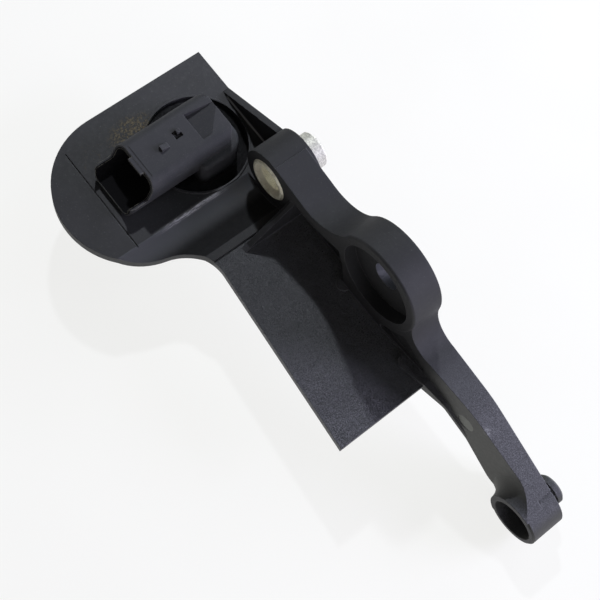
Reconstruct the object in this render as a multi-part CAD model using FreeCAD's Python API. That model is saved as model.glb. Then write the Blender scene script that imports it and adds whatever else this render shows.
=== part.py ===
import FreeCAD, Part
import math
import os

# Engine speed sensor on a moulded bracket with a long arm.
# Millimetres. The bolt runs along Y through the sleeve, +Y goes into the engine, X runs along the arm
# from the sleeve to the locating peg, and Z stands square to the plate that carries the connector.
# The origin is where the bolt axis meets the mounting face, so the whole front lies at negative y.

Vector = FreeCAD.Vector
ALONG_Y = Vector(0, 1, 0)
ALONG_Z = Vector(0, 0, 1)

# Sleeve and ear
bolt_clearance_radius = 3.25
sleeve_outer_radius = 5.25
sleeve_chamfer = 0.4
sleeve_lead_in = 1.1
sleeve_proud_front = 0.35
spigot_radius = 4.3
spigot_length = 4.0
ear_radius = 7.4
ear_depth = 9.3
ear_step = 0.15

# Plate, lobe and belt-side panel
plate_top_z = -7.0
plate_thickness = 2.5
lobe_x = -18.6
lobe_y = -31.2
lobe_radius = 18.4
lobe_fillet_radius = 10.0
panel_end_x = 55.3
panel_corner_y = -32.2
panel_edge_slope = 0.0885
panel_step_x = 6.3
panel_step = 0.4
seam_y = -39.9
seam_start_x = -33.0
seam_width = 0.3
seam_depth = 0.2

# Wrench trough in front of the sleeve
trough_x = -1.0
trough_radius = 8.7
trough_wall = 2.2
trough_edge_round = 0.8

# Sloped wall from the plate up to the ear, and the gusset
slope_wall_thickness = 1.6
slope_wall_foot_x = -25.7
slope_wall_top_z = 2.2
foot_bead = 0.35
gusset_x = 7.2
gusset_thickness = 1.4
gusset_reach = 12.2
gusset_top_z = 2.2

# Arm
arm_relief = 0.8
dip_radius = 11.0
dip_floor_z = 5.9
valley_radius = 7.5
valley_floor_z = -0.5
hump_x = 67.0
hump_z = -2.1
hump_radius = 25.0
arm_foot_x = 61.5
arm_foot_radius = 9.0
arm_sole_x = 79.5
arm_sole_rise = 1.8
arm_sole_radius = 6.0
arm_front_taper = 0.0672
ledge_start_x = 47.2
ledge_start_y = -11.3
ledge_corner_y = -9.3
ledge_rise = 0.8
ledge_height = 1.2
ledge_end_x = 69.5
web_depth = 5.6
rim_height = 3.0
web_corner_radius = 1.6
web_end_x = 27.0
web_foot_radius = 1.7
web_foot_rise = 0.35
hollow_depth = 7.4
hollow_foot = 1.0
mark_x = 67.0
mark_z = -8.8
mark_radius = 2.3
mark_depth = 0.15

# Ring with its counterbore
ring_x = 33.8
ring_z = 7.1
ring_radius = 12.0
ring_depth = 8.55
counterbore_radius = 9.8
counterbore_depth = 3.15
ring_hole_radius = 3.3
ring_edge_round = 0.6

# Lower boss and locating peg
boss_x = 89.3
boss_z = -17.8
boss_radius = 6.6
boss_depth = 9.5
boss_bore_radius = 5.2
boss_floor = 2.0
boss_flare_radius = 4.0
boss_edge_chamfer = 0.4
peg_radius = 3.65
peg_length = 2.8
peg_head_length = 1.8
peg_chamfer = 0.5
neck_radius = 3.2
neck_rib_count = 12
neck_rib_radius = 0.25

# Round pocket that holds the sensor
pocket_x = -18.45
pocket_y = -14.6
pocket_radius = 11.8
pocket_lip_width = 0.45
pocket_lip_height = 0.3
hub_wall = 1.8
hub_bottom_z = -14.0
hub_floor = 1.5
nose_radius = 6.0
nose_clearance = 0.2
nose_proud = 1.2
resin_high_z = -7.5
resin_low_z = -10.3

# Sensor housing with its connector
flange_radius = 10.3
flange_thickness = 2.0
plinth_half_width = 8.1
plinth_front_y = -18.9
plinth_rear_y = -6.9
plinth_top_z = -1.7
plinth_corner_radius = 4.5
plinth_edge_round = 1.0
shroud_offset_x = -0.35
shroud_half_width = 6.75
shroud_clearance = 0.3
shroud_top_z = 2.0
shroud_corner_radius = 2.8
shroud_wall = 0.8
shroud_rear_y = -8.5
shroud_rear_round = 3.2
lip_round = 2.0
socket_mouth_y = -30.6
socket_floor_y = -21.0
lip_y = -37.9
lip_z = -3.0
mouth_rake = 2.1
lip_corner_radius = 1.0
tab_half_width = 2.25
tab_reach = 1.05
tab_thickness = 0.9
brow_width = 0.8
brow_drop = 0.06
latch_y = -23.7
latch_length = 2.0
latch_width = 1.3
latch_height = 0.75
catch_offset_x = -0.6
catch_y = -19.5
catch_size = 1.9
catch_depth = 0.6
catch_bump = 1.0
catch_bump_height = 0.5
window_half_width = 3.6
window_draft = 1.2
window_front_y = -15.7
window_front_depth = 1.5
window_rear_depth = 0.2
window_tilt = 1.1

# Terminals and sensing chip
pin_count = 3
pin_pitch = 2.54
pin_width = 1.5
pin_thickness = 0.64
pin_z = -2.4
pin_tip_y = -28.6
pin_tip_taper = 0.5
pin_foot_z = -12.6
chip_half_width = 3.6
chip_length = 3.6
chip_thickness = 1.2
chip_cover = 0.6
leg_width = 0.6
leg_thickness = 0.4
leg_overlap = 1.6

# Sizes that follow from the ones above
plate_bottom_z = plate_top_z - plate_thickness
panel_top_z = plate_top_z - panel_step
plate_edge_x = lobe_x - lobe_radius
hub_floor_z = hub_bottom_z + hub_floor
shroud_x = pocket_x + shroud_offset_x
flange_top_z = hub_floor_z + flange_thickness
shroud_bottom_z = plate_top_z + shroud_clearance
nose_tip_z = hub_bottom_z - nose_proud
boss_bottom_z = boss_z - boss_radius
arm_sole_z = boss_bottom_z + arm_sole_rise
pin_offsets = [(i - (pin_count - 1) / 2) * pin_pitch for i in range(pin_count)]


def box(x0, x1, y0, y1, z0, z1):
    """A block between two corners."""
    return Part.makeBox(x1 - x0, y1 - y0, z1 - z0, Vector(x0, y0, z0))


def rod(x, z, radius, y0, y1):
    """A cylinder along Y."""
    return Part.makeCylinder(radius, y1 - y0, Vector(x, y0, z), ALONG_Y)


def post(x, y, radius, z0, z1):
    """A cylinder along Z."""
    return Part.makeCylinder(radius, z1 - z0, Vector(x, y, z0), ALONG_Z)


def seen_from_front(u, v):
    """Places an outline point in the X-Z plane."""
    return Vector(u, 0, v)


def seen_from_above(u, v):
    """Places an outline point in the X-Y plane."""
    return Vector(u, v, 0)


def seen_from_side(u, v):
    """Places an outline point in the Y-Z plane."""
    return Vector(0, u, v)


def rounded_loop(corners, place):
    """A closed outline of straight runs from (u, v, radius) corners, each rounded with its own radius."""
    edges = []
    starts = []
    count = len(corners)
    for i in range(count):
        before = place(*corners[i - 1][:2])
        corner = place(*corners[i][:2])
        after = place(*corners[(i + 1) % count][:2])
        radius = corners[i][2]
        if radius == 0:
            starts.append((corner, corner, None))
            continue
        to_before = (before - corner).normalize()
        to_after = (after - corner).normalize()
        half = to_before.getAngle(to_after) / 2
        run = radius / math.tan(half)
        middle_way = (to_before + to_after).normalize()
        middle = corner + middle_way * (radius / math.sin(half) - radius)
        starts.append((corner + to_before * run, corner + to_after * run, middle))
    for i in range(count):
        enter, leave, middle = starts[i]
        if middle is not None:
            edges.append(Part.Arc(enter, middle, leave).toShape())
        arrive = starts[(i + 1) % count][0]
        if leave.distanceToPoint(arrive) > 1e-6:
            edges.append(Part.LineSegment(leave, arrive).toShape())
    return Part.Wire(edges)


def prism_y(wire, y0, y1):
    """Pushes a front outline from y0 to y1."""
    face = Part.Face(wire)
    face.translate(Vector(0, y0, 0))
    return face.extrude(Vector(0, y1 - y0, 0))


def prism_z(wire, z0, z1):
    """Pushes an outline seen from above from z0 to z1."""
    face = Part.Face(wire)
    face.translate(Vector(0, 0, z0))
    return face.extrude(Vector(0, 0, z1 - z0))


def prism_x(wire, x0, x1):
    """Pushes an outline seen from the side from x0 to x1."""
    face = Part.Face(wire)
    face.translate(Vector(x0, 0, 0))
    return face.extrude(Vector(x1 - x0, 0, 0))


def rims_at(solid, y, radius):
    """The circular edges of a turned solid that lie at one y and have one radius."""
    circles = [edge for edge in solid.Edges if edge.isClosed() and abs(edge.CenterOfMass.y - y) < 1e-6]
    return [edge for edge in circles if abs(edge.Curve.Radius - radius) < 1e-6]


def panel_edge_y(x):
    """The panel's long outer edge, which runs out slightly towards the panel's end."""
    return panel_corner_y + panel_edge_slope * (panel_end_x - x)


def plate_outline():
    """The plate seen from above: square rear corner, round lobe, fillet, panel."""
    slope = math.hypot(1, panel_edge_slope)
    normal_x = -panel_edge_slope / slope
    normal_y = -1 / slope
    base_x = lobe_x + normal_x * lobe_fillet_radius
    base_y = panel_edge_y(lobe_x) + normal_y * lobe_fillet_radius
    reach = lobe_radius + lobe_fillet_radius
    along_x = 1 / slope
    along_y = -panel_edge_slope / slope
    to_x = base_x - lobe_x
    to_y = base_y - lobe_y
    half = to_x * along_x + to_y * along_y
    run = -half + math.sqrt(half * half - (to_x ** 2 + to_y ** 2 - reach ** 2))
    centre = Vector(base_x + along_x * run, base_y + along_y * run, 0)
    lobe = Vector(lobe_x, lobe_y, 0)
    out = (centre - lobe).normalize()
    lobe_end = lobe + out * lobe_radius
    panel_start = centre - Vector(normal_x, normal_y, 0) * lobe_fillet_radius
    fillet_way = ((lobe_end - centre) + (panel_start - centre)).normalize()
    lobe_start = Vector(plate_edge_x, lobe_y, 0)
    lobe_way = ((lobe_start - lobe) + (lobe_end - lobe)).normalize()
    if lobe_way.y > 0:
        lobe_way = lobe_way * -1
    corners = [
        panel_start,
        Vector(panel_end_x, panel_corner_y, 0),
        Vector(panel_end_x, -arm_relief, 0),
        Vector(ear_radius, -arm_relief, 0),
        Vector(ear_radius, 0, 0),
        Vector(plate_edge_x, 0, 0),
        lobe_start,
    ]
    edges = [Part.LineSegment(a, b).toShape() for a, b in zip(corners, corners[1:])]
    edges.append(Part.Arc(lobe_start, lobe + lobe_way * lobe_radius, lobe_end).toShape())
    edges.append(Part.Arc(lobe_end, centre + fillet_way * lobe_fillet_radius, panel_start).toShape())
    return Part.Wire(edges)


def dip_centre():
    """The hollow between ear and ring is an arc that touches the ring."""
    z = dip_floor_z + dip_radius
    x = ring_x - math.sqrt((ring_radius + dip_radius) ** 2 - (z - ring_z) ** 2)
    return Vector(x, 0, z)


def valley_centre():
    """The hollow behind the ring is an arc that touches the ring."""
    z = valley_floor_z + valley_radius
    x = ring_x + math.sqrt((ring_radius + valley_radius) ** 2 - (z - ring_z) ** 2)
    return Vector(x, 0, z)


def arc_about(centre, radius, start, end):
    """The shorter arc about a centre between two points on it."""
    way = ((start - centre) + (end - centre)).normalize()
    return Part.Arc(start, centre + way * radius, end).toShape()


def arm_top():
    """Top edge of the arm from a low step on the ear to the valley, with a hollow on each side of the ring."""
    ring = Vector(ring_x, 0, ring_z)
    dip = dip_centre()
    valley = valley_centre()
    start_radius = ear_radius + ear_step
    way = math.atan2(dip.z, dip.x) + math.acos((start_radius + dip_radius) / dip.Length)
    normal = Vector(math.cos(way), 0, math.sin(way))
    leave_ear = normal * start_radius
    enter_dip = dip - normal * dip_radius
    enter_ring = ring + (dip - ring).normalize() * ring_radius
    leave_ring = ring + (valley - ring).normalize() * ring_radius
    floor = Vector(valley.x, 0, valley_floor_z)
    edges = [
        Part.LineSegment(leave_ear, enter_dip).toShape(),
        arc_about(dip, dip_radius, enter_dip, enter_ring),
        Part.LineSegment(enter_ring, leave_ring).toShape(),
        arc_about(valley, valley_radius, leave_ring, floor),
    ]
    return leave_ear, floor, edges


def rounded_corner(before, corner, after, radius):
    """Entry, arc and exit of one rounded corner of the arm's outline."""
    to_before = (before - corner).normalize()
    to_after = (after - corner).normalize()
    half = to_before.getAngle(to_after) / 2
    run = radius / math.tan(half)
    middle = corner + (to_before + to_after).normalize() * (radius / math.sin(half) - radius)
    enter = corner + to_before * run
    leave = corner + to_after * run
    return enter, Part.Arc(enter, middle, leave).toShape(), leave


def touch_point(start, centre, radius):
    """Where a line from start touches the upper side of a circle."""
    reach = start.distanceToPoint(centre)
    run = math.sqrt(reach ** 2 - radius ** 2)
    way = math.atan2(centre.z - start.z, centre.x - start.x) + math.asin(radius / reach)
    return start + Vector(math.cos(way), 0, math.sin(way)) * run


def arm_outline():
    """The whole arm seen from the front, from the ear's middle to the boss's middle."""
    leave_ear, floor, edges = arm_top()
    hump = Vector(hump_x, 0, hump_z)
    boss_middle = Vector(boss_x, 0, boss_z)
    boss_top = touch_point(hump, boss_middle, boss_radius)
    boss_low = Vector(boss_x, 0, arm_sole_z)
    sole = Vector(arm_sole_x, 0, arm_sole_z)
    foot = Vector(arm_foot_x, 0, plate_bottom_z)
    heel = Vector(0, 0, plate_bottom_z)
    hump_in, hump_arc, hump_out = rounded_corner(floor, hump, boss_top, hump_radius)
    sole_in, sole_arc, sole_out = rounded_corner(boss_low, sole, foot, arm_sole_radius)
    foot_in, foot_arc, foot_out = rounded_corner(sole, foot, heel, arm_foot_radius)
    middle = Vector(0, 0, 0)
    edges += [
        Part.LineSegment(floor, hump_in).toShape(),
        hump_arc,
        Part.LineSegment(hump_out, boss_top).toShape(),
        Part.LineSegment(boss_top, boss_middle).toShape(),
        Part.LineSegment(boss_middle, boss_low).toShape(),
        Part.LineSegment(boss_low, sole_in).toShape(),
        sole_arc,
        Part.LineSegment(sole_out, foot_in).toShape(),
        foot_arc,
        Part.LineSegment(foot_out, heel).toShape(),
        Part.LineSegment(heel, middle).toShape(),
        Part.LineSegment(middle, leave_ear).toShape(),
    ]
    return Part.Wire(edges)


def arm_front_y(x):
    """Front face of the lower arm, which thins towards the boss."""
    start = ring_x + ring_radius / 2
    return -ring_depth + arm_front_taper * max(0, x - start)


def arm_plan():
    """The arm seen from above: full depth at the ear, ring depth at the ring, thinning to the boss."""
    taper_start = ring_x + ring_radius / 2
    near_ring = ring_x - ring_radius + 2
    before_ring = ring_x - ring_radius - 8
    corners = [
        (0, -ear_depth, 0),
        (before_ring, -ear_depth, 0),
        (near_ring, -ring_depth, 0),
        (taper_start, -ring_depth, 0),
        (boss_x, arm_front_y(boss_x), 0),
        (boss_x, -arm_relief, 0),
        (0, -arm_relief, 0),
    ]
    return rounded_loop(corners, seen_from_above)


def arm_web_cuts():
    """A deep pocket in the arm's front before the ring and a shallow one after it, above a low foot."""
    rim_z = dip_floor_z - rim_height
    brace_x = gusset_x + gusset_thickness
    upper = [
        (brace_x, panel_top_z, 0),
        (web_end_x, panel_top_z, web_corner_radius),
        (web_end_x - 3.6, rim_z + 1.0, web_corner_radius),
        (web_end_x - 9.0, rim_z, web_corner_radius),
        (brace_x, rim_z, 0),
    ]
    valley = valley_centre()
    foot_z = panel_top_z + hollow_foot
    lower = [
        (ring_x + ring_radius / 3, foot_z, web_corner_radius / 2),
        (valley.x + 1.2, foot_z, web_corner_radius / 2),
        (valley.x - 1.2, valley_floor_z - 4.1, web_corner_radius),
        (valley.x - 7.8, valley_floor_z + 0.5, web_corner_radius / 2),
    ]
    cuts = []
    for corners, depth in ((upper, web_depth), (lower, hollow_depth)):
        wire = rounded_loop(corners, seen_from_front)
        cuts.append(prism_y(wire, -ear_depth - 1, -depth))
    return cuts


def arm_ledge():
    """Low ledge along the arm's foot: it starts on the panel, runs on under the arm and narrows to nothing."""
    foot = Vector(arm_foot_x, 0, plate_bottom_z)
    sole = Vector(arm_sole_x, 0, arm_sole_z)
    fall = (sole.z - foot.z) / (sole.x - foot.x)
    end_z = foot.z + fall * (ledge_end_x - foot.x)
    top_z = panel_top_z + ledge_rise
    side = [
        (ledge_start_x, foot.z, 0),
        (foot.x, foot.z, arm_foot_radius / 3),
        (ledge_end_x, end_z, 0),
        (ledge_end_x, end_z + ledge_height, 0),
        (foot.x, foot.z + ledge_height, arm_foot_radius / 3),
        (panel_end_x, top_z, 0),
        (ledge_start_x, top_z, 0),
    ]
    plan = [
        (ledge_start_x, ledge_start_y, web_corner_radius),
        (panel_end_x, ledge_corner_y, 0),
        (ledge_end_x, arm_front_y(ledge_end_x), 0),
        (ledge_end_x, -web_depth, 0),
        (ledge_start_x, -web_depth, 0),
    ]
    strip = prism_y(rounded_loop(side, seen_from_front), ledge_start_y - 1, -web_depth)
    taper = prism_z(rounded_loop(plan, seen_from_above), boss_bottom_z, plate_top_z + ledge_rise)
    return strip.common(taper)


def boss_flare():
    """Hollow flare from the arm's front face out to the boss's rim, kept within the arm's outline."""
    arm_y = arm_front_y(boss_x - boss_radius)
    rim_y = arm_y - boss_flare_radius
    outer = boss_radius + boss_flare_radius
    bend = boss_flare_radius * math.sqrt(0.5)
    a = Vector(0, rim_y, 0)
    b = Vector(boss_radius, rim_y, 0)
    mid = Vector(outer - bend, rim_y + bend, 0)
    c = Vector(outer, arm_y, 0)
    d = Vector(outer, -web_depth + 1, 0)
    e = Vector(0, -web_depth + 1, 0)
    edges = [
        Part.LineSegment(a, b).toShape(),
        Part.Arc(b, mid, c).toShape(),
        Part.LineSegment(c, d).toShape(),
        Part.LineSegment(d, e).toShape(),
        Part.LineSegment(e, a).toShape(),
    ]
    turned = Part.Face(Part.Wire(edges)).revolve(Vector(0, 0, 0), ALONG_Y, 360)
    turned.translate(Vector(boss_x, 0, boss_z))
    return turned.common(prism_y(arm_outline(), -boss_depth, -arm_relief))


def arm():
    """The arm with its web pockets, ledge and flare."""
    solid = prism_y(arm_outline(), -ear_depth, -arm_relief)
    solid = solid.common(prism_z(arm_plan(), boss_bottom_z - 1, ring_z + ring_radius + 1))
    for cut in arm_web_cuts():
        solid = solid.cut(cut)
    mark = rod(mark_x, mark_z, mark_radius, -ear_depth, arm_front_y(mark_x) + mark_depth)
    web_foot = post(web_end_x, -ring_depth, web_foot_radius, plate_bottom_z, panel_top_z + web_foot_rise)
    return solid.fuse([arm_ledge(), boss_flare(), web_foot]).cut(mark)


def ring():
    """Ring boss before its bores."""
    body = rod(ring_x, ring_z, ring_radius, -ring_depth, -arm_relief)
    return body.makeFillet(ring_edge_round, rims_at(body, -ring_depth, ring_radius))


def boss():
    """Lower boss before its bore, with the locating peg behind it."""
    body = rod(boss_x, boss_z, boss_radius, -boss_depth, -arm_relief)
    body = body.makeChamfer(boss_edge_chamfer, rims_at(body, -boss_depth, boss_radius))
    return body.fuse(locating_peg())


def locating_peg():
    """Peg with a full round head and a narrower neck that has small ribs across it."""
    head_y = peg_length - peg_head_length
    head = rod(boss_x, boss_z, peg_radius, head_y, peg_length)
    head = head.makeChamfer(peg_chamfer, rims_at(head, peg_length, peg_radius))
    foot_y = -arm_relief - boss_floor / 2
    stems = [rod(boss_x, boss_z, neck_radius, foot_y, head_y)]
    for i in range(neck_rib_count):
        angle = 2 * math.pi * i / neck_rib_count
        x = boss_x + neck_radius * math.cos(angle)
        z = boss_z + neck_radius * math.sin(angle)
        stems.append(rod(x, z, neck_rib_radius, foot_y, head_y))
    return head.fuse(stems)


def trough_edge():
    """Sliver that rounds the trough's edge on the connector's side, as long as the trough."""
    reach = trough_radius + trough_edge_round
    middle_z = plate_top_z - trough_edge_round
    middle = Vector(trough_x - math.sqrt(reach ** 2 - middle_z ** 2), 0, middle_z)
    axis = Vector(trough_x, 0, 0)
    on_plate = Vector(middle.x, 0, plate_top_z)
    on_trough = axis + (middle - axis) * (trough_radius / reach)
    edges = [
        arc_about(middle, trough_edge_round, on_plate, on_trough),
        Part.LineSegment(on_trough, axis).toShape(),
        Part.LineSegment(axis, on_plate).toShape(),
    ]
    return prism_y(Part.Wire(edges), lobe_y - lobe_radius - 1, -ear_depth)


def plate():
    """Plate and panel with the wrench trough, the seam line and the hub under the pocket."""
    outline = plate_outline()
    slab = prism_z(outline, plate_bottom_z, plate_top_z)
    belly = prism_z(outline, plate_top_z - trough_radius - trough_wall, plate_top_z)
    front_y = lobe_y - lobe_radius - 1
    belly = belly.common(rod(trough_x, 0, trough_radius + trough_wall, front_y, -arm_relief))
    hub = post(pocket_x, pocket_y, pocket_radius + hub_wall, hub_bottom_z, plate_top_z - plate_thickness / 2)
    lip = post(pocket_x, pocket_y, pocket_radius + pocket_lip_width, plate_top_z - 1, plate_top_z + pocket_lip_height)
    solid = slab.fuse([belly, hub, lip])
    solid = solid.cut(rod(trough_x, 0, trough_radius, front_y, -ear_depth)).cut(trough_edge())
    step = box(panel_step_x, panel_end_x + 1, panel_corner_y - 1, 0, panel_top_z, plate_top_z + 1)
    seam_end_x = trough_x - trough_radius / 2
    seam = box(seam_start_x, seam_end_x, seam_y, seam_y + seam_width, plate_top_z - seam_depth, plate_top_z + 1)
    return solid.cut(step).cut(seam)


def slope_wall():
    """Thin wall at the rear that climbs from the plate to the ear, with a bead along its foot."""
    touch_x = -math.sqrt(ear_radius ** 2 - slope_wall_top_z ** 2)
    corners = [
        (slope_wall_foot_x, plate_top_z, 0),
        (touch_x, slope_wall_top_z, 0),
        (0, slope_wall_top_z, 0),
        (0, plate_bottom_z, 0),
        (slope_wall_foot_x, plate_bottom_z, 0),
    ]
    wall = prism_y(rounded_loop(corners, seen_from_front), -slope_wall_thickness, 0)
    bead = [
        (-slope_wall_thickness - foot_bead, plate_top_z, 0),
        (-slope_wall_thickness, plate_top_z + foot_bead, 0),
        (-slope_wall_thickness / 2, plate_bottom_z, 0),
    ]
    start_x = slope_wall_foot_x + slope_wall_thickness
    return wall.fuse(prism_x(rounded_loop(bead, seen_from_side), start_x, touch_x))


def gusset():
    """Triangular rib that braces the arm against the panel."""
    corners = [
        (-ear_depth - gusset_reach, panel_top_z, 0),
        (-ear_depth, gusset_top_z, 0),
        (-web_depth, gusset_top_z, 0),
        (-web_depth, plate_bottom_z, 0),
        (-ear_depth - gusset_reach, plate_bottom_z, 0),
    ]
    return prism_x(rounded_loop(corners, seen_from_side), gusset_x, gusset_x + gusset_thickness)


def bracket_bores():
    """Everything drilled or cored out of the bracket."""
    far = spigot_length + boss_depth
    return [
        rod(0, 0, sleeve_outer_radius, -far, far),
        rod(ring_x, ring_z, counterbore_radius, -far, counterbore_depth - ring_depth),
        rod(ring_x, ring_z, ring_hole_radius, -far, far),
        rod(boss_x, boss_z, boss_bore_radius, -far, -arm_relief - boss_floor),
        post(pocket_x, pocket_y, pocket_radius, hub_floor_z, shroud_top_z),
        post(pocket_x, pocket_y, nose_radius + nose_clearance, nose_tip_z - 1, hub_floor_z),
    ]


def bracket_body():
    """The one-piece moulding: plate, panel, ear, arm, ring and boss."""
    ear = rod(0, 0, ear_radius, -ear_depth, 0)
    solid = plate().fuse([slope_wall(), gusset(), arm(), ear, ring(), boss()])
    return solid.cut(Part.makeCompound(bracket_bores())).removeSplitter()


def mounting_sleeve():
    """Steel sleeve in the ear: takes the bolt load and centres the part with its narrower rear end."""
    front = -ear_depth - sleeve_proud_front
    barrel = rod(0, 0, sleeve_outer_radius, front, 0)
    spigot = rod(0, 0, spigot_radius, front, spigot_length)
    bore = rod(0, 0, bolt_clearance_radius, front - 1, spigot_length + 1)
    sleeve = barrel.fuse(spigot).cut(bore).removeSplitter()
    rims = rims_at(sleeve, front, sleeve_outer_radius) + rims_at(sleeve, spigot_length, spigot_radius)
    rims += rims_at(sleeve, spigot_length, bolt_clearance_radius)
    sleeve = sleeve.makeChamfer(sleeve_chamfer, rims)
    return sleeve.makeChamfer(sleeve_lead_in, rims_at(sleeve, front, bolt_clearance_radius))


def shroud_section(inset):
    """Rounded cross-section of the connector, drawn in by the wall for the socket."""
    left = shroud_x - shroud_half_width + inset
    right = shroud_x + shroud_half_width - inset
    low = shroud_bottom_z + inset
    high = shroud_top_z - inset
    radius = max(shroud_corner_radius - inset, 0.5)
    corners = [(left, low, radius), (right, low, radius), (right, high, radius), (left, high, radius)]
    return rounded_loop(corners, seen_from_front)


def shroud_mouth():
    """What the mouth lacks above its long lower lip; the mouth's own edge leans forward as it comes down."""
    corners = [
        (lip_y - 1, lip_z, 0),
        (socket_mouth_y - mouth_rake, lip_z, lip_corner_radius),
        (socket_mouth_y, shroud_top_z, 0),
        (socket_mouth_y, shroud_top_z + 1, 0),
        (lip_y - 1, shroud_top_z + 1, 0),
    ]
    across = 2 * shroud_half_width
    return prism_x(rounded_loop(corners, seen_from_side), shroud_x - across, shroud_x + across)


def connector_shroud():
    """Connector with its socket, keyed mouth, latch block, catch and rear window."""
    solid = prism_y(shroud_section(0), lip_y, shroud_rear_y)
    left = shroud_x - shroud_half_width
    right = shroud_x + shroud_half_width
    corners = [
        (left, lip_y, lip_round),
        (right, lip_y, lip_round),
        (right, shroud_rear_y, shroud_rear_round),
        (left, shroud_rear_y, shroud_rear_round),
    ]
    solid = solid.common(prism_z(rounded_loop(corners, seen_from_above), shroud_bottom_z, shroud_top_z))
    solid = solid.cut(prism_y(shroud_section(shroud_wall), lip_y - 1, socket_floor_y))
    solid = solid.cut(shroud_mouth())
    tab_top_z = shroud_top_z - brow_drop
    brow = box(left - 1, right + 1, socket_mouth_y, socket_mouth_y + brow_width, tab_top_z, shroud_top_z + 1)
    solid = solid.cut(brow)
    tab = box(pocket_x - tab_half_width, pocket_x + tab_half_width, socket_mouth_y - tab_reach,
              socket_mouth_y + shroud_wall, tab_top_z - tab_thickness, tab_top_z)
    return solid.fuse(tab).fuse(latch_block()).cut(catch_pocket()).fuse(catch_nub()).cut(rear_window())


def latch_block():
    """Block on the top that the plug's latch hooks over, a little lower at the rear."""
    front = latch_y - latch_length / 2
    rear = latch_y + latch_length / 2
    corners = [
        (front, shroud_top_z + latch_height, 0),
        (rear, shroud_top_z + latch_height / 2, 0),
        (rear, shroud_top_z - shroud_wall / 2, 0),
        (front, shroud_top_z - shroud_wall / 2, 0),
    ]
    return prism_x(rounded_loop(corners, seen_from_side), pocket_x - latch_width / 2, pocket_x + latch_width / 2)


def catch_pocket():
    """Small square pocket behind the latch block."""
    half = catch_size / 2
    x = shroud_x + catch_offset_x
    return box(x - half, x + half, catch_y - half, catch_y + half, shroud_top_z - catch_depth, shroud_top_z + 1)


def catch_nub():
    """Nub that stands in the far corner of that pocket."""
    x = shroud_x + catch_offset_x - catch_size / 2
    y = catch_y + catch_size / 2
    low = shroud_top_z - catch_depth
    return box(x, x + catch_bump, y - catch_bump, y, low, shroud_top_z + catch_bump_height)


def rear_window():
    """Recess in the top at the rear, deepest at its front left corner; its left side leans in."""
    rear_y = shroud_rear_y + 1
    side = [
        (window_front_y, shroud_top_z - window_front_depth, 0),
        (rear_y, shroud_top_z - window_rear_depth, 0),
        (rear_y, shroud_top_z + 1, 0),
        (window_front_y, shroud_top_z + 1, 0),
    ]
    left = shroud_x - window_half_width
    right = shroud_x + window_half_width
    plan = [
        (left, window_front_y, 0),
        (right, window_front_y, 0),
        (right, rear_y, 0),
        (left + window_draft, rear_y, 0),
    ]
    face = Part.Face(rounded_loop(side, seen_from_side))
    face.translate(Vector(left, 0, 0))
    slope = face.extrude(Vector(right - left, 0, window_tilt))
    return slope.common(prism_z(rounded_loop(plan, seen_from_above), plinth_top_z, shroud_top_z + 1))


def plinth():
    """D-shaped block under the connector's rear."""
    left = pocket_x - plinth_half_width
    right = pocket_x + plinth_half_width
    corners = [
        (left, plinth_front_y, plinth_corner_radius / 3),
        (right, plinth_front_y, plinth_corner_radius / 3),
        (right, plinth_rear_y, plinth_corner_radius),
        (left, plinth_rear_y, plinth_corner_radius),
    ]
    block = prism_z(rounded_loop(corners, seen_from_above), flange_top_z - flange_thickness / 2, plinth_top_z)
    rims = [edge for edge in block.Edges if abs(edge.BoundBox.ZMin - plinth_top_z) < 1e-6]
    return block.makeFillet(plinth_edge_round, rims)


def sensor_housing():
    """Connector, plinth, seat flange and sensing nose in one moulding, with the metal parts set in it."""
    flange = post(pocket_x, pocket_y, flange_radius, hub_floor_z, flange_top_z)
    nose = post(pocket_x, pocket_y, nose_radius, nose_tip_z, hub_floor_z + flange_thickness / 2)
    solid = connector_shroud().fuse([plinth(), flange, nose])
    inserts = terminals() + [hall_chip()]
    return solid.cut(Part.makeCompound(inserts)).removeSplitter()


def potting_resin():
    """Resin in the gap round the housing, which ran to one side before it set."""
    fill = post(pocket_x, pocket_y, pocket_radius, hub_floor_z, plate_top_z)
    near = pocket_x - pocket_radius
    far = pocket_x + pocket_radius
    corners = [
        (near - 1, resin_high_z, 0),
        (near + pocket_radius / 2, resin_high_z, 3.0),
        (far + 1, resin_low_z, 0),
        (far + 1, plate_top_z + 1, 0),
        (near - 1, plate_top_z + 1, 0),
    ]
    air = prism_y(rounded_loop(corners, seen_from_front), pocket_y - 2 * pocket_radius, pocket_y + 2 * pocket_radius)
    flange = post(pocket_x, pocket_y, flange_radius, hub_floor_z, flange_top_z)
    nose_hole = post(pocket_x, pocket_y, nose_radius, hub_floor_z - 1, hub_floor_z + 1)
    return fill.cut(air).cut(plinth()).cut(flange).cut(nose_hole).removeSplitter()


def terminal(offset):
    """One stamped terminal: a blade in the socket, bent down to the chip."""
    x = shroud_x + offset
    half = pin_thickness / 2
    corners = [
        (pin_tip_y, pin_z - half / 2, 0),
        (pin_tip_y + pin_tip_taper, pin_z - half, 0),
        (pocket_y - half, pin_z - half, 0),
        (pocket_y - half, pin_foot_z, 0),
        (pocket_y + half, pin_foot_z, 0),
        (pocket_y + half, pin_z + half, 2 * half),
        (pin_tip_y + pin_tip_taper, pin_z + half, 0),
        (pin_tip_y, pin_z + half / 2, 0),
    ]
    return prism_x(rounded_loop(corners, seen_from_side), x - pin_width / 2, x + pin_width / 2)


def terminals():
    """The row of terminals."""
    return [terminal(offset) for offset in pin_offsets]


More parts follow.
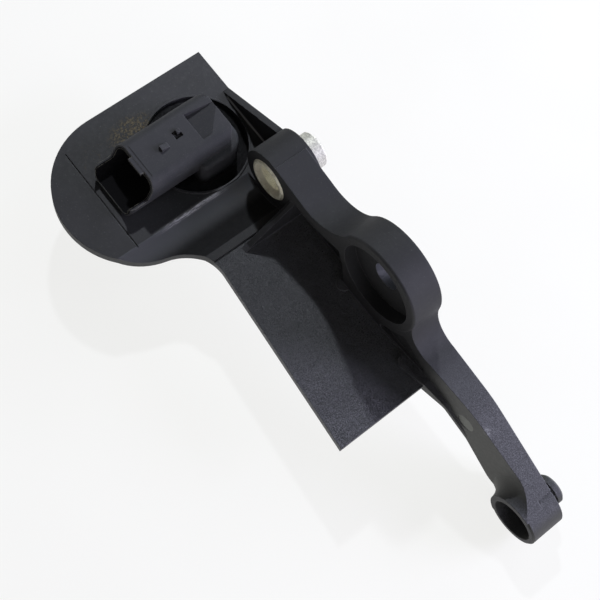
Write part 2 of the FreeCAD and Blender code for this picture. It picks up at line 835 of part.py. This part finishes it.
def hall_chip():
    """Sensing chip behind the nose's face, with one leg lying on each terminal's foot."""
    low = nose_tip_z + chip_cover
    high = low + chip_thickness
    body = box(pocket_x - chip_half_width, pocket_x + chip_half_width, pocket_y - chip_length / 2,
               pocket_y + chip_length / 2, low, high)
    leg_y = pocket_y + pin_thickness / 2
    legs = []
    for offset in pin_offsets:
        x = shroud_x + offset
        legs.append(box(x - leg_width / 2, x + leg_width / 2, leg_y, leg_y + leg_thickness,
                        high - chip_thickness / 2, pin_foot_z + leg_overlap))
    return body.fuse(legs).removeSplitter()


def main():
    os.makedirs("parts", exist_ok=True)
    nodes = {
        "bracket_body": bracket_body(),
        "mounting_sleeve": mounting_sleeve(),
        "sensor_housing": sensor_housing(),
        "potting_resin": potting_resin(),
        "hall_chip": hall_chip(),
    }
    for name, shape in zip(("terminal_left", "terminal_middle", "terminal_right"), terminals()):
        nodes[name] = shape
    for name, shape in nodes.items():
        box_of = shape.BoundBox
        print(name, len(shape.Solids), shape.isValid(), round(shape.Volume, 1),
              [round(v, 2) for v in (box_of.XMin, box_of.XMax, box_of.YMin, box_of.YMax, box_of.ZMin, box_of.ZMax)])
        shape.exportStep("parts/" + name + ".step")


main()
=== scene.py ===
import math
from types import SimpleNamespace

import bpy
from mathutils import Matrix, Vector


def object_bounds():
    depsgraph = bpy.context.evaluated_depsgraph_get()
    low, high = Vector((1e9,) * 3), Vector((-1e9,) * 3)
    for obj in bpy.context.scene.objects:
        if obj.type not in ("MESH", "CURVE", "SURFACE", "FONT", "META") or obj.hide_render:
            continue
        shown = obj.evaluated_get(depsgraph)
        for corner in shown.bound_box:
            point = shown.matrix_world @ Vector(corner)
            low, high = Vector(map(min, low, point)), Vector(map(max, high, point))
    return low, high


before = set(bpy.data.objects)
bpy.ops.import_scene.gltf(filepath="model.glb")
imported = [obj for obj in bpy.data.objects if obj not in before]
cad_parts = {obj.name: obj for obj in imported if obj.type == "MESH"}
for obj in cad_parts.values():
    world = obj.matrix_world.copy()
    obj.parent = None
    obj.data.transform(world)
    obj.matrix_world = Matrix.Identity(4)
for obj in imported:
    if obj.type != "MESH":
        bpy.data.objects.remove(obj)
cad_box = [list(corner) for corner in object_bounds()]

# Camera, from a pinhole fit to the photograph
LENS_MM = 73.38
SENSOR_MM = 36.0
CLIP_START = 0.01
EYE = Vector((0.0738, -0.0971, 0.2415))
CAMERA_RIGHT = Vector((0.6187, 0.7762, 0.1216))
CAMERA_UP = Vector((-0.7632, 0.557, 0.3275))

# Lights, each a round softbox: degrees round from +X, degrees up, watts, size in metres, colour
LIGHTS = {
    "key": (146, 45, 1.62, 0.03, (0.9, 0.94, 1.0)),
    "side": (54, 20, 4.3, 0.3, (0.8, 0.78, 1.0)),
    "top": (60, 62, 0.2, 0.25, (0.8, 0.86, 1.0)),
    "front": (300, 60, 0.22, 0.3, (1.0, 0.97, 0.9)),
    "fill": (350, 11, 0.65, 0.3, (0.92, 0.9, 1.0)),
    "rear": (90, 14, 1.3, 0.3, (0.82, 0.95, 1.0)),
}
LIGHT_REACH = 0.6
LIGHT_AIM = Vector((0.02, -0.02, 0.0))
HORIZON_GLOW = 0.12
OVERHEAD_GLOW = 0.02
SKY_COLOUR = (0.95, 0.96, 1.0, 1.0)
SKY_FADE_HEIGHT = (0.05, 0.5)
FLOOR_SIZE = 8.0
FLOOR_GLOW = 0.82
FLOOR_GLOW_COLOUR = (1.0, 1.0, 0.985, 1.0)

# Places on the bracket that its finish and its painted light and shade follow, in millimetres
MM_PER_METRE = 1000.0
PLATE_TOP_Z = -7.0
PANEL_START_X = 6.7
PANEL_END_X = 55.4
PANEL_TOP_Z = -6.6
EAR_START_X = -8.0
EAR_FRONT_Y = -9.3
ARM_START_X = 0.5
ARM_GRAIN_X = (44.0, 64.0)
LOW_ARM_X = (40.0, 80.0)
UPPER_ARM_END_X = (48.0, 62.0)
TROUGH_AXIS = (-1.0, 0.0, 0.0)
TROUGH_RADIUS = 8.7
TROUGH_EDGE_X = -6.2
# Stretch of the trough whose right wall and bottom are painted dark as shade
TROUGH_SHADE_X = (-4.2, 0.4)
WALL_FOOT_X = (-23.5, -8.0)
WALL_FOOT_Y = -1.8
RING_AXIS = (33.8, 0.0, 7.1)
RING_HOLE_RADIUS = 3.3
RING_FLOOR_Y = -5.4
MARK_AXIS = (67.0, 0.0, -8.8)
MARK_RADIUS = 2.3
MARK_BACK_Y = -3.0

# Dirt, wear and a painted highlight on the bracket: centres and how far each reaches, in millimetres
DUST_CENTRE = (-29.6, -24.3, PLATE_TOP_Z)
DUST_REACH = (3.4, 6.0, 0.8)
THIN_DUST_CENTRE = (-29.0, -30.0, PLATE_TOP_Z)
THIN_DUST_REACH = (6.0, 12.0, 0.8)
RUBBED_HIGHLIGHT_Y = (-28.0, -22.0)
RUBBED_HIGHLIGHT_FADE = 8.0
KNOCK_CENTRE = (71.5, -5.8, -3.6)
KNOCK_REACH = (2.0, 1.2, 2.0)

# Places on the housing and the sleeve, in millimetres
SOCKET_CENTRE = (-18.8, -29.2, -2.35)
SOCKET_HALF = (6.35, 8.6, 3.95)
SOCKET_ROUND = 2.4
MOUTH_Y = -30.6
SLEEVE_AXIS = (0.0, 0.0, 0.0)
SLEEVE_REAR_Y = (-0.6, 0.2)
BORE_RADIUS = 3.25

# Bracket colours, in linear light
PLATE_BLACK = (0.016, 0.016, 0.018)
PLATE_CLOUD = (0.021, 0.021, 0.0235)
GRAIN_GREY = (0.052, 0.053, 0.059)
GRAIN_CLOUD = (0.062, 0.063, 0.07)
GRAIN_TIP = (0.085, 0.086, 0.094)
# Painted bounce light: warmer grey on the arm's faces that don't look up
ARM_SIDE_BOUNCE_TINT = (0.037, 0.0375, 0.032)
ARM_SKIN_BLACK = (0.006, 0.006, 0.007)
HANDLED_GREY = (0.05, 0.05, 0.056)
SPECK_GREY = (0.1, 0.1, 0.104)
# Painted sheen: the trough's left wall is lightened in place of its highlight
TROUGH_SHEEN_GREY = (0.07, 0.072, 0.08)
# Painted shade: the trough's right wall and bottom are darkened as if in shadow
TROUGH_SHADE_BLACK = (0.008, 0.008, 0.009)
MARK_GREY = (0.13, 0.135, 0.12)
# Painted light: the ring's through-hole wall is lightened as if lit through the hole
HOLE_PAINTED_LIGHT = (0.06, 0.062, 0.068)
# Painted highlight: a pale line along the foot of the sloped rear wall
WALL_FOOT_HIGHLIGHT = (0.3, 0.3, 0.3)
# Worn edges, lightened also as painted edge highlights
WORN_EDGE_HIGHLIGHT_GREY = (0.13, 0.13, 0.135)
DUST_BROWN = (0.19, 0.155, 0.1)
# Painted highlight, with scratches, along the trough's left edge
RUBBED_HIGHLIGHT_PALE = (0.55, 0.53, 0.58)
KNOCK_PALE = (0.2, 0.2, 0.21)

# Housing and resin colours, in linear light
HOUSING_BLACK = (0.038, 0.0385, 0.043)
HOUSING_CLOUD = (0.047, 0.047, 0.051)
HOUSING_HANDLED = (0.06, 0.059, 0.06)
HOUSING_SCRATCH = (0.1, 0.098, 0.098)
HOUSING_EDGE = (0.11, 0.107, 0.105)
# Painted shade: the walls inside the connector's mouth are darkened as if in shadow
SOCKET_SHADE_BLACK = (0.004, 0.0038, 0.0048)
MOUTH_PALE = (0.26, 0.25, 0.21)
RESIN_BLACK = (0.004, 0.004, 0.0046)
RESIN_FLOW = (0.009, 0.009, 0.01)

# Metal, chip and floor colours, in linear light
ZINC = (0.95, 0.92, 0.75)
ZINC_STAIN = (0.62, 0.58, 0.45)
ZINC_EDGE = (0.9, 0.88, 0.76)
LEAD_IN_BROWN = (0.5, 0.44, 0.34)
BORE_ZINC = (0.95, 0.92, 0.76)
BORE_STAIN = (0.6, 0.55, 0.42)
REAR_ZINC = (0.77, 0.76, 0.66)
REAR_FLAKE = (0.5, 0.49, 0.43)
TIN = (0.62, 0.58, 0.48)
BRASS = (0.48, 0.42, 0.3)
EPOXY_BLACK = (0.012, 0.012, 0.012)
EPOXY_SPECK = (0.025, 0.025, 0.025)
FLOOR_PALE = (0.15, 0.15, 0.149)
FLOOR_MOTTLE = (0.17, 0.17, 0.169)


class Shader:
    """One material's node tree, with short calls to add nodes and join them."""

    def __init__(self, name):
        self.material = bpy.data.materials.new(name)
        self.material.use_nodes = True
        self.nodes = self.material.node_tree.nodes
        self.links = self.material.node_tree.links
        self.nodes.clear()
        output = self.nodes.new("ShaderNodeOutputMaterial")
        self.surface = self.nodes.new("ShaderNodeBsdfPrincipled")
        self.links.new(self.surface.outputs["BSDF"], output.inputs["Surface"])
        coordinates = self.nodes.new("ShaderNodeTexCoord")
        self.place = self.scale(coordinates.outputs["Object"], MM_PER_METRE)
        self.x, self.y, self.z = self.parts(self.place)

    def put(self, socket, value):
        """Joins an output to a socket, or sets the socket to a plain value."""
        if isinstance(value, bpy.types.NodeSocket):
            self.links.new(value, socket)
        else:
            socket.default_value = value

    def math(self, operation, a, b=0.0):
        """Maths on one or two values."""
        node = self.nodes.new("ShaderNodeMath")
        node.operation = operation
        self.put(node.inputs[0], a)
        self.put(node.inputs[1], b)
        return node.outputs[0]

    def product(self, first, *others):
        """All the values multiplied, which is where all masks overlap."""
        value = first
        for other in others:
            value = self.math("MULTIPLY", value, other)
        return value

    def vector(self, operation, a, b=(0.0, 0.0, 0.0)):
        """Maths on one or two vectors. A length and a dot product are plain values."""
        node = self.nodes.new("ShaderNodeVectorMath")
        node.operation = operation
        self.put(node.inputs[0], a)
        self.put(node.inputs[1], b)
        plain = operation in ("LENGTH", "DOT_PRODUCT")
        return node.outputs["Value" if plain else "Vector"]

    def scale(self, vector, factor):
        """A vector times a plain number or value."""
        node = self.nodes.new("ShaderNodeVectorMath")
        node.operation = "SCALE"
        self.links.new(vector, node.inputs[0])
        self.put(node.inputs["Scale"], factor)
        return node.outputs["Vector"]

    def parts(self, vector):
        """The X, Y and Z of a vector."""
        node = self.nodes.new("ShaderNodeSeparateXYZ")
        self.links.new(vector, node.inputs[0])
        return node.outputs

    def surface_normal(self):
        """The normal of the mesh, before any bump."""
        return self.nodes.new("ShaderNodeNewGeometry").outputs["Normal"]

    def ramp(self, value, low, high, at_low=0.0, at_high=1.0):
        """Smooth step from at_low to at_high as value goes from low to high."""
        node = self.nodes.new("ShaderNodeMapRange")
        node.interpolation_type = "SMOOTHSTEP"
        node.clamp = True
        self.put(node.inputs["Value"], value)
        node.inputs["From Min"].default_value = low
        node.inputs["From Max"].default_value = high
        node.inputs["To Min"].default_value = at_low
        node.inputs["To Max"].default_value = at_high
        return node.outputs["Result"]

    def fall(self, value, low, high):
        """One up to low, falling to nothing at high."""
        return self.ramp(value, low, high, 1.0, 0.0)

    def band(self, value, low, high, soft):
        """One between low and high, falling to nothing over soft on each side."""
        return self.product(self.ramp(value, low - soft, low), self.fall(value, high, high + soft))

    def noise(self, size_mm, detail=2.0, rough=0.5, stretch=None):
        """Noise whose features are about size_mm across, its place multiplied by stretch if given."""
        node = self.nodes.new("ShaderNodeTexNoise")
        node.inputs["Scale"].default_value = 1.0 / size_mm
        node.inputs["Detail"].default_value = detail
        node.inputs["Roughness"].default_value = rough
        place = self.vector("MULTIPLY", self.place, stretch) if stretch else self.place
        self.links.new(place, node.inputs["Vector"])
        return node.outputs["Fac"]

    def distance(self, centre, reach):
        """Distance from a point, counted in the given reach along each axis."""
        away = self.vector("SUBTRACT", self.place, centre)
        return self.vector("LENGTH", self.vector("DIVIDE", away, reach))

    def from_axis(self, point):
        """Distance in millimetres from the line through a point along Y."""
        without_y = (1.0, 1e6, 1.0)
        return self.distance(point, without_y)

    def mix(self, factor, a, b):
        """Mixes two colours."""
        node = self.nodes.new("ShaderNodeMix")
        node.data_type = "RGBA"
        self.put(node.inputs[0], factor)
        for socket, value in ((node.inputs[6], a), (node.inputs[7], b)):
            self.put(socket, value if isinstance(value, bpy.types.NodeSocket) else (*value, 1.0))
        return node.outputs[2]

    def coat(self, base, *coats):
        """Lays colours over a base one after another, each through its own mask."""
        for mask, colour in coats:
            base = self.mix(mask, base, colour)
        return base

    def blend(self, factor, a, b):
        """Mixes two plain numbers or values."""
        node = self.nodes.new("ShaderNodeMix")
        self.put(node.inputs[0], factor)
        self.put(node.inputs[2], a)
        self.put(node.inputs[3], b)
        return node.outputs[0]

    def opposite(self, mask):
        """One where the mask is nothing."""
        return self.blend(mask, 1.0, 0.0)

    def soft_edges(self, radius_mm):
        """Normals rounded over the edges, and a mask of where an edge was rounded."""
        bevel = self.nodes.new("ShaderNodeBevel")
        bevel.samples = 4
        bevel.inputs["Radius"].default_value = radius_mm / MM_PER_METRE
        rounded = bevel.outputs[0]
        likeness = self.vector("DOT_PRODUCT", rounded, self.surface_normal())
        return rounded, self.fall(likeness, 0.8, 0.99)

    def facing_up(self):
        """Mask of the faces that look up."""
        return self.ramp(self.parts(self.surface_normal())[2], 0.6, 0.9)

    def glitter(self, size_mm, share, normal):
        """Tips the normal of each small cell a random way, so that single grains catch the light."""
        cells = self.nodes.new("ShaderNodeTexVoronoi")
        cells.inputs["Scale"].default_value = 1.0 / size_mm
        self.links.new(self.place, cells.inputs["Vector"])
        centred = self.vector("SUBTRACT", cells.outputs["Color"], (0.5, 0.5, 0.5))
        tipped = self.vector("ADD", normal, self.scale(centred, share))
        return self.vector("NORMALIZE", tipped)

    def bump(self, height, strength, depth_mm, normal=None):
        """Normals raised by a height, on top of other normals if given."""
        node = self.nodes.new("ShaderNodeBump")
        self.put(node.inputs["Strength"], strength)
        node.inputs["Distance"].default_value = depth_mm / MM_PER_METRE
        self.links.new(height, node.inputs["Height"])
        if normal is not None:
            self.links.new(normal, node.inputs["Normal"])
        return node.outputs[0]

    def finish(self, colour, roughness, normal=None, metallic=0.0, level=0.5):
        """Sets the surface and gives the finished material."""
        self.links.new(colour, self.surface.inputs["Base Color"])
        self.put(self.surface.inputs["Roughness"], roughness)
        self.surface.inputs["Metallic"].default_value = metallic
        self.surface.inputs["Specular IOR Level"].default_value = level
        if normal is not None:
            self.links.new(normal, self.surface.inputs["Normal"])
        return self.material


def bracket_zones(s):
    """Masks of the bracket's parts that have a finish, or painted light or shade, of their own."""
    behind_front = s.ramp(s.y, EAR_FRONT_Y - 0.2, EAR_FRONT_Y - 0.1)
    trough = s.product(s.fall(s.from_axis(TROUGH_AXIS), TROUGH_RADIUS + 0.05, TROUGH_RADIUS + 0.2),
                       s.fall(s.y, EAR_FRONT_Y - 0.3, EAR_FRONT_Y - 0.1))
    return SimpleNamespace(
        up=s.facing_up(),
        panel=s.product(s.band(s.x, PANEL_START_X, PANEL_END_X, 0.4),
                        s.fall(s.z, PANEL_TOP_Z, PANEL_TOP_Z + 0.3)),
        arm=s.product(s.ramp(s.x, ARM_START_X, ARM_START_X + 0.5), behind_front,
                      s.ramp(s.x, *ARM_GRAIN_X, 0.12, 0.8)),
        low_arm=s.ramp(s.x, *LOW_ARM_X),
        upper_arm=s.product(behind_front, s.ramp(s.x, EAR_START_X, EAR_START_X + 0.4),
                            s.fall(s.x, *UPPER_ARM_END_X),
                            s.ramp(s.z, PLATE_TOP_Z + 0.2, PLATE_TOP_Z + 0.5)),
        trough=trough,
        trough_shade=s.product(trough, s.ramp(s.x, *TROUGH_SHADE_X)),
        mark=s.product(s.fall(s.from_axis(MARK_AXIS), 0.96 * MARK_RADIUS, MARK_RADIUS),
                       s.fall(s.y, MARK_BACK_Y - 0.2, MARK_BACK_Y)),
        hole=s.product(s.fall(s.from_axis(RING_AXIS), RING_HOLE_RADIUS + 0.02, RING_HOLE_RADIUS + 0.1),
                       s.ramp(s.y, RING_FLOOR_Y - 0.1, RING_FLOOR_Y)),
        wall_foot=s.product(s.band(s.x, *WALL_FOOT_X, 1.0),
                            s.band(s.y, WALL_FOOT_Y - 0.16, WALL_FOOT_Y + 0.16, 0.05),
                            s.band(s.z, PLATE_TOP_Z + 0.04, PLATE_TOP_Z + 0.33, 0.03)),
    )


def bracket_skin(s, zone, edge, fine, grain):
    """Colours of the moulding: black plate, greyer grained panel and arm, painted sheen and painted shade in
    the trough, other painted highlights, worn edges.
    """
    cloud = s.ramp(s.noise(7.0, detail=3.0), 0.3, 0.7)
    specks = s.ramp(s.noise(0.42, rough=0.6), 0.64, 0.72)
    grained = s.math("MAXIMUM", zone.panel, zone.arm)
    grained_top = s.math("MAXIMUM", zone.panel, s.product(zone.arm, zone.up))
    return s.coat(
        s.mix(cloud, PLATE_BLACK, PLATE_CLOUD),
        (grained, s.mix(cloud, GRAIN_GREY, GRAIN_CLOUD)),
        # Painted warm bounce light on the arm's faces that don't look up
        (s.product(zone.arm, s.opposite(zone.up)), ARM_SIDE_BOUNCE_TINT),
        (s.product(grained_top, s.ramp(grain, 0.5, 0.72), 0.6), GRAIN_TIP),
        (s.product(s.ramp(fine, 0.5, 0.8), 0.3), HANDLED_GREY),
        (s.product(specks, zone.up, 0.35), SPECK_GREY),
        (s.product(zone.upper_arm, 0.45), ARM_SKIN_BLACK),
        # Painted sheen on the trough's left wall
        (zone.trough, TROUGH_SHEEN_GREY),
        # Painted shade over the trough's right wall and bottom
        (zone.trough_shade, TROUGH_SHADE_BLACK),
        (zone.mark, MARK_GREY),
        # Painted light on the ring's through-hole wall
        (zone.hole, HOLE_PAINTED_LIGHT),
        # Painted highlight along the sloped wall's foot
        (s.product(zone.wall_foot, 0.8), WALL_FOOT_HIGHLIGHT),
        # Worn edges with painted edge highlights
        (s.product(edge, s.ramp(fine, 0.3, 0.6), 0.75), WORN_EDGE_HIGHLIGHT_GREY),
    )


def dust_on_plate(s):
    """Mask of the brown grit beside the connector, with thinner grit farther out."""
    near = s.fall(s.distance(DUST_CENTRE, DUST_REACH), 0.45, 1.2)
    far = s.fall(s.distance(THIN_DUST_CENTRE, THIN_DUST_REACH), 0.3, 1.1)
    grit = s.ramp(s.noise(0.55, detail=4.0, rough=0.7), 0.44, 0.62)
    thin_grit = s.ramp(s.noise(0.8, detail=4.0, rough=0.75), 0.54, 0.72)
    return s.math("MAXIMUM", s.product(near, grit), s.product(far, thin_grit, 0.4))


def scratched_edge_highlight(s):
    """Mask of a painted highlight along the trough's left edge, brightest mid-length, broken into long
    scratches.
    """
    along_edge = s.product(s.band(s.x, TROUGH_EDGE_X - 0.2, TROUGH_EDGE_X + 0.4, 0.35),
                           s.band(s.y, *RUBBED_HIGHLIGHT_Y, RUBBED_HIGHLIGHT_FADE),
                           s.ramp(s.z, PLATE_TOP_Z - 0.9, PLATE_TOP_Z - 0.5),
                           s.fall(s.z, PLATE_TOP_Z + 0.2, PLATE_TOP_Z + 0.4))
    scratches = s.noise(0.3, detail=4.0, rough=0.8, stretch=(1.0, 0.12, 1.0))
    return s.product(along_edge, s.ramp(scratches, 0.38, 0.66))


def bracket_roughness(s, zone, fine, dust):
    """Dull all over, with a smoother trough and ring hole and the dullest dust and painted-shade patch of
    the trough.
    """
    roughness = s.blend(zone.panel, 0.62, 0.55)
    roughness = s.blend(zone.upper_arm, roughness, 0.7)
    roughness = s.blend(zone.trough, roughness, 0.45)
    roughness = s.blend(zone.trough_shade, roughness, 0.95)
    roughness = s.blend(zone.hole, roughness, 0.3)
    roughness = s.math("ADD", roughness, s.ramp(fine, 0.2, 0.8, -0.05, 0.06))
    return s.blend(dust, roughness, 0.9)


def bracket_normal(s, zone, smooth_normal, grain, dust):
    """Moulding grain, strongest on faces that look up, with faint waves, raised dust and glitter."""
    strength = s.blend(zone.panel, s.blend(zone.low_arm, 0.14, 0.2), 0.35)
    strength = s.blend(zone.trough, strength, 0.04)
    strength = s.product(strength, s.blend(zone.up, 0.12, 1.0))
    normal = s.bump(grain, strength, 0.05, smooth_normal)
    normal = s.bump(s.noise(2.6), 0.12, 0.12, normal)
    normal = s.bump(dust, 0.5, 0.12, normal)
    share = s.blend(zone.panel, s.product(zone.low_arm, zone.up, 0.4), 0.85)
    return s.glitter(0.13, share, normal)


def bracket_plastic():
    """Black glass-filled nylon with dust on the plate, a painted highlight with scratches on the trough edge
    and a knock on the arm.
    """
    s = Shader("bracket_plastic")
    smooth_normal, edge = s.soft_edges(0.25)
    zone = bracket_zones(s)
    fine = s.noise(0.9, detail=4.0, rough=0.65)
    grain = s.noise(0.12, detail=1.0, rough=0.4)
    dust = dust_on_plate(s)
    knock = s.product(s.fall(s.distance(KNOCK_CENTRE, KNOCK_REACH), 0.2, 1.0), s.ramp(fine, 0.45, 0.6))
    colour = s.coat(
        bracket_skin(s, zone, edge, fine, grain),
        (dust, DUST_BROWN),
        # Painted highlight along the trough's left edge
        (s.product(scratched_edge_highlight(s), 0.75), RUBBED_HIGHLIGHT_PALE),
        (s.product(knock, 0.8), KNOCK_PALE),
    )
    roughness = bracket_roughness(s, zone, fine, dust)
    return s.finish(colour, roughness, bracket_normal(s, zone, smooth_normal, grain, dust))


def inside_socket(s):
    """Mask of the walls inside the connector's mouth, a box with round corners."""
    across, along, up = [s.math("ABSOLUTE", s.math("SUBTRACT", place, middle))
                         for place, middle in zip((s.x, s.y, s.z), SOCKET_CENTRE)]
    half_width, half_length, half_height = SOCKET_HALF
    past_side = s.math("MAXIMUM", s.math("SUBTRACT", across, half_width - SOCKET_ROUND), 0.0)
    past_top = s.math("MAXIMUM", s.math("SUBTRACT", up, half_height - SOCKET_ROUND), 0.0)
    from_core = s.math("SQRT", s.math("ADD", s.product(past_side, past_side), s.product(past_top, past_top)))
    return s.product(s.fall(from_core, SOCKET_ROUND - 0.1, SOCKET_ROUND),
                     s.fall(along, half_length - 0.12, half_length))


def housing_plastic():
    """Smooth black connector plastic with light handling marks, a socket painted dark as shade and a pale
    worn mouth.
    """
    s = Shader("housing_plastic")
    smooth_normal, edge = s.soft_edges(0.3)
    cloud = s.noise(4.0, detail=3.0)
    fine = s.noise(0.6, detail=4.0, rough=0.65)
    specks = s.ramp(s.noise(0.3, rough=0.6), 0.62, 0.7)
    scratches = s.ramp(s.noise(0.4, detail=3.0, rough=0.7, stretch=(1.0, 0.12, 1.0)), 0.62, 0.7)
    inside = inside_socket(s)
    mouth = s.product(edge, s.fall(s.y, MOUTH_Y + 0.3, MOUTH_Y + 0.9), s.ramp(fine, 0.3, 0.55))
    colour = s.coat(
        s.mix(s.ramp(cloud, 0.3, 0.7), HOUSING_BLACK, HOUSING_CLOUD),
        (s.product(s.ramp(fine, 0.55, 0.8), 0.45), HOUSING_HANDLED),
        (s.product(s.math("MAXIMUM", specks, scratches), 0.3), HOUSING_SCRATCH),
        (s.product(edge, s.ramp(fine, 0.3, 0.6), 0.6), HOUSING_EDGE),
        # Painted shade inside the connector's mouth
        (inside, SOCKET_SHADE_BLACK),
        (s.product(mouth, 0.8), MOUTH_PALE),
    )
    roughness = s.blend(inside, s.ramp(cloud, 0.25, 0.75, 0.58, 0.66), 0.95)
    normal = s.bump(s.noise(0.4), 0.12, 0.04, smooth_normal)
    normal = s.bump(s.noise(3.0, detail=1.0), 0.1, 0.1, normal)
    return s.finish(colour, roughness, normal, level=0.22)


def potting():
    """Cast resin: nearly black, dull, with small pits and flow marks."""
    s = Shader("resin")
    pits = s.noise(0.7, detail=4.0, rough=0.7)
    flow = s.noise(2.2)
    colour = s.mix(s.ramp(flow, 0.35, 0.7), RESIN_BLACK, RESIN_FLOW)
    normal = s.bump(pits, 0.6, 0.25)
    normal = s.bump(flow, 0.4, 0.3, normal)
    return s.finish(colour, s.ramp(pits, 0.3, 0.7, 0.45, 0.75), normal, level=0.12)


def sleeve_front(s, edge, stain, turned):
    """Colours of the sleeve's stained front end, its brown lead-in and its turned bore."""
    radius = s.from_axis(SLEEVE_AXIS)
    lead_in = s.band(radius, BORE_RADIUS + 0.1, BORE_RADIUS + 0.8, 0.25)
    in_bore = s.fall(radius, BORE_RADIUS, BORE_RADIUS + 0.1)
    return s.coat(
        s.mix(s.ramp(stain, 0.35, 0.7), ZINC, ZINC_STAIN),
        (s.product(lead_in, s.ramp(stain, 0.3, 0.6, 0.8, 0.2)), LEAD_IN_BROWN),
        (in_bore, s.mix(s.ramp(turned, 0.35, 0.65), BORE_ZINC, BORE_STAIN)),
        (s.product(edge, 0.6), ZINC_EDGE),
    )


def sleeve_steel():
    """Zinc-plated sleeve: stained and brownish in front, bright and rough on the end behind the ear."""
    s = Shader("sleeve_steel")
    smooth_normal, edge = s.soft_edges(0.15)
    behind = s.ramp(s.y, *SLEEVE_REAR_Y)
    stain = s.noise(1.3, detail=4.0, rough=0.65)
    flake = s.noise(0.45, detail=3.0, rough=0.6)
    turned = s.noise(0.25, stretch=(1.0, 6.0, 1.0))
    rear = s.mix(s.ramp(flake, 0.35, 0.65), REAR_ZINC, REAR_FLAKE)
    colour = s.mix(behind, sleeve_front(s, edge, stain, turned), rear)
    roughness = s.blend(behind, s.ramp(stain, 0.3, 0.7, 0.42, 0.62), 0.5)
    normal = s.bump(turned, 0.12, 0.05, smooth_normal)
    normal = s.bump(flake, s.blend(behind, 0.15, 0.6), 0.12, normal)
    return s.finish(colour, roughness, normal, metallic=0.2)


def terminal_metal():
    """Tin-plated brass blades with fine draw lines."""
    s = Shader("terminal_metal")
    lines = s.noise(0.12, stretch=(1.0, 0.06, 1.0))
    spots = s.noise(0.8, detail=3.0)
    colour = s.mix(s.ramp(spots, 0.4, 0.7), TIN, BRASS)
    return s.finish(colour, s.ramp(spots, 0.3, 0.7, 0.28, 0.42), s.bump(lines, 0.2, 0.02), metallic=1.0)


def chip_epoxy():
    """Moulded epoxy of the hidden chip."""
    s = Shader("chip_epoxy")
    speckle = s.noise(0.2, detail=3.0)
    colour = s.mix(s.ramp(speckle, 0.4, 0.7), EPOXY_BLACK, EPOXY_SPECK)
    return s.finish(colour, 0.6, s.bump(speckle, 0.3, 0.03))


def floor_white():
    """Pale table with the faintest mottling, lit a little from within like a light table."""
    s = Shader("floor_white")
    mottle = s.noise(60.0)
    colour = s.mix(s.ramp(mottle, 0.3, 0.7), FLOOR_PALE, FLOOR_MOTTLE)
    s.surface.inputs["Emission Color"].default_value = FLOOR_GLOW_COLOUR
    s.surface.inputs["Emission Strength"].default_value = FLOOR_GLOW
    return s.finish(colour, 0.9, level=0.1)


def dress(node, material):
    """Gives a CAD node a finished material."""
    node.data.materials.clear()
    node.data.materials.append(material)


def add_floor(z):
    """Pale floor under the part, at its lowest point."""
    bpy.ops.mesh.primitive_plane_add(size=FLOOR_SIZE, location=(0.0, 0.0, z))
    floor = bpy.context.object
    floor.name = "floor"
    floor.data.materials.append(floor_white())


def add_camera():
    """Camera at the photograph's angle."""
    back = CAMERA_RIGHT.cross(CAMERA_UP)
    turn = Matrix((CAMERA_RIGHT, CAMERA_UP, back)).transposed()
    data = bpy.data.cameras.new("camera")
    data.lens = LENS_MM
    data.sensor_width = SENSOR_MM
    data.clip_start = CLIP_START
    camera = bpy.data.objects.new("camera", data)
    camera.matrix_world = Matrix.Translation(EYE) @ turn.to_4x4()
    bpy.context.scene.collection.objects.link(camera)
    bpy.context.scene.camera = camera


def add_light(name, round_degrees, up_degrees, power, size, colour):
    """Soft round area light in the given direction, turned to the part."""
    turn = math.radians(round_degrees)
    up = math.radians(up_degrees)
    way = Vector((math.cos(up) * math.cos(turn), math.cos(up) * math.sin(turn), math.sin(up)))
    data = bpy.data.lights.new(name, "AREA")
    data.shape = "DISK"
    data.size = size
    data.energy = power
    data.color = colour
    light = bpy.data.objects.new(name, data)
    light.location = LIGHT_AIM + way * LIGHT_REACH
    light.rotation_euler = way.to_track_quat("Z", "Y").to_euler()
    bpy.context.scene.collection.objects.link(light)


def add_world():
    """Dim studio overhead, pale towards the horizon."""
    world = bpy.data.worlds.new("studio")
    bpy.context.scene.world = world
    world.use_nodes = True
    nodes = world.node_tree.nodes
    links = world.node_tree.links
    nodes.clear()
    coordinates = nodes.new("ShaderNodeTexCoord")
    split = nodes.new("ShaderNodeSeparateXYZ")
    ramp = nodes.new("ShaderNodeMapRange")
    background = nodes.new("ShaderNodeBackground")
    output = nodes.new("ShaderNodeOutputWorld")
    ramp.interpolation_type = "SMOOTHSTEP"
    ramp.inputs["From Min"].default_value = SKY_FADE_HEIGHT[0]
    ramp.inputs["From Max"].default_value = SKY_FADE_HEIGHT[1]
    ramp.inputs["To Min"].default_value = HORIZON_GLOW
    ramp.inputs["To Max"].default_value = OVERHEAD_GLOW
    background.inputs["Color"].default_value = SKY_COLOUR
    links.new(coordinates.outputs["Generated"], split.inputs[0])
    links.new(split.outputs[2], ramp.inputs["Value"])
    links.new(ramp.outputs["Result"], background.inputs["Strength"])
    links.new(background.outputs[0], output.inputs["Surface"])


materials = {
    "bracket_body": bracket_plastic(),
    "mounting_sleeve": sleeve_steel(),
    "sensor_housing": housing_plastic(),
    "potting_resin": potting(),
    "hall_chip": chip_epoxy(),
}
metal = terminal_metal()
for name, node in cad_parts.items():
    dress(node, materials.get(name, metal))

add_camera()
add_world()
for name, values in LIGHTS.items():
    add_light(name, *values)
add_floor(cad_box[0][2])
bpy.context.scene.view_settings.view_transform = "Standard"
